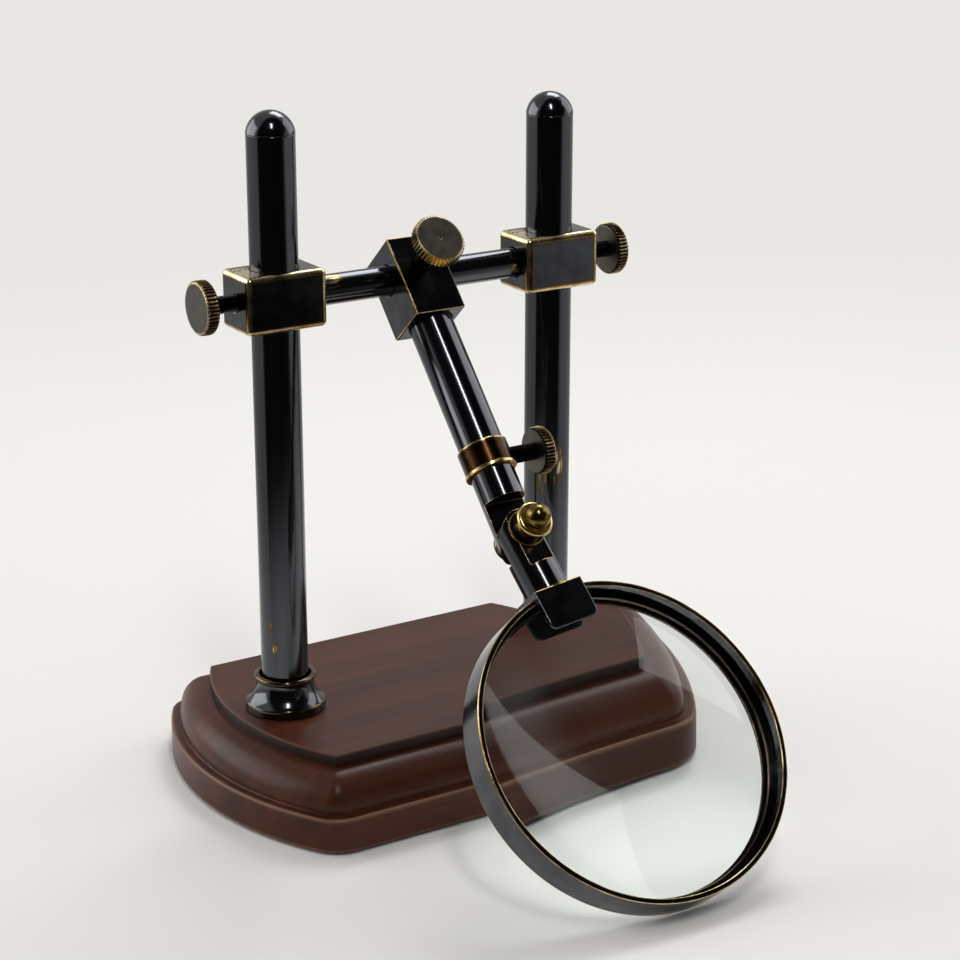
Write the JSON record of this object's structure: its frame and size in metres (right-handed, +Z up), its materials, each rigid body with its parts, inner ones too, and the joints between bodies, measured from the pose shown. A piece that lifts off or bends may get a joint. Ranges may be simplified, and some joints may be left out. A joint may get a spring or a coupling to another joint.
{
  "type": "stand magnifier",
  "caption": "Desk magnifier: a framed round lens on a jointed arm, carried by a crossbar that slides on two pillars above a moulded wooden base.",
  "frame": {"origin": "centre of the base's underside, on the table", "axes": "+Z up; +X from the left pillar to the right one as the reader sees them; -Y towards the reader, where the lens is"},
  "size_m": [0.172, 0.218, 0.2345],
  "materials": {
    "stained_wood": "red-brown stain under clear polish",
    "dark_felt": "pressed wool felt",
    "blackened_brass": "blackened, polished, worn to bare brass at the edges",
    "bright_brass": "polished and aged",
    "red_brass": "polished, with a red-brown tone",
    "steel": "plain turned",
    "optical_glass": "polished, clear"
  },
  "bodies": {
    "base": {"wood_base": "stained_wood", "felt_pad": "dark_felt", "left_foot_flange": "blackened_brass", "right_foot_flange": "blackened_brass", "left_pillar_tube": "blackened_brass", "right_pillar_tube": "blackened_brass", "left_pillar_cap": "blackened_brass", "right_pillar_cap": "blackened_brass", "pillar_plugs": "bright_brass", "pillar_bolts": "steel", "pillar_washers": "steel"},
    "carriage": {"left_slider_block": "blackened_brass", "right_slider_block": "blackened_brass"},
    "left_screw": {"left_clamp_screw": "blackened_brass"},
    "right_screw": {"right_clamp_screw": "blackened_brass"},
    "crossbar": {"cross_bar": "blackened_brass"},
    "arm_head": {"centre_block": "blackened_brass", "arm_tube": "blackened_brass", "arm_collar": "red_brass"},
    "centre_screw": {"centre_clamp_screw": "blackened_brass"},
    "collar_screw": {"collar_clamp_screw": "blackened_brass"},
    "rod": {"arm_rod": "steel"},
    "knuckle": {"upper_knuckle": "blackened_brass", "pivot_bolt": "blackened_brass"},
    "tilt_knob": {"ball_knob": "bright_brass", "knob_cup": "bright_brass"},
    "lens_head": {"lens_stem": "blackened_brass", "pivot_washer": "blackened_brass", "lens_clip": "blackened_brass", "lens_ring": "blackened_brass", "lens_retainer": "blackened_brass", "lens": "optical_glass"}
  },
  "joints": [
    {"name": "carriage_height", "type": "slide", "parent": "base", "child": "carriage", "axis": [0, 0, 1], "range_m": [-0.04, 0.04]},
    {"name": "left_screw_turn", "type": "hinge", "parent": "carriage", "child": "left_screw", "pos_m": [-0.0681, 0, 0.1735], "axis": [-1, 0, 0], "range_deg": [0, 360]},
    {"name": "right_screw_turn", "type": "hinge", "parent": "carriage", "child": "right_screw", "pos_m": [0.0681, 0, 0.1735], "axis": [1, 0, 0], "range_deg": [0, 360]},
    {"name": "arm_swing", "type": "hinge", "parent": "carriage", "child": "crossbar", "pos_m": [0, 0, 0.1735], "axis": [-1, 0, 0], "range_deg": [-4, 95]},
    {"name": "arm_side_slide", "type": "slide", "parent": "crossbar", "child": "arm_head", "axis": [1, 0, 0], "range_m": [-0.0275, 0.03]},
    {"name": "centre_screw_turn", "type": "hinge", "parent": "arm_head", "child": "centre_screw", "pos_m": [-0.0017, 0, 0.1735], "axis": [0, -0.7408, 0.6717], "range_deg": [0, 360]},
    {"name": "collar_screw_turn", "type": "hinge", "parent": "arm_head", "child": "collar_screw", "pos_m": [-0.0017, -0.04695, 0.12172], "axis": [1, 0, 0], "range_deg": [0, 360]},
    {"name": "rod_slide", "type": "slide", "parent": "arm_head", "child": "rod", "axis": [0, -0.6717, -0.7408], "range_m": [0, 0.028]},
    {"name": "rod_twist", "type": "hinge", "parent": "rod", "child": "knuckle", "pos_m": [-0.0017, -0.06596, 0.10075], "axis": [0, -0.6717, -0.7408], "range_deg": [-180, 180]},
    {"name": "stem_tilt", "type": "hinge", "parent": "knuckle", "child": "lens_head", "pos_m": [-0.0017, -0.06596, 0.10075], "axis": [0, -0.7408, 0.6717], "range_deg": [-66, 54]},
    {"name": "tilt_knob_turn", "type": "hinge", "parent": "knuckle", "child": "tilt_knob", "pos_m": [-0.0017, -0.06596, 0.10075], "axis": [0, -0.7408, 0.6717], "range_deg": [0, 360]}
  ]
}
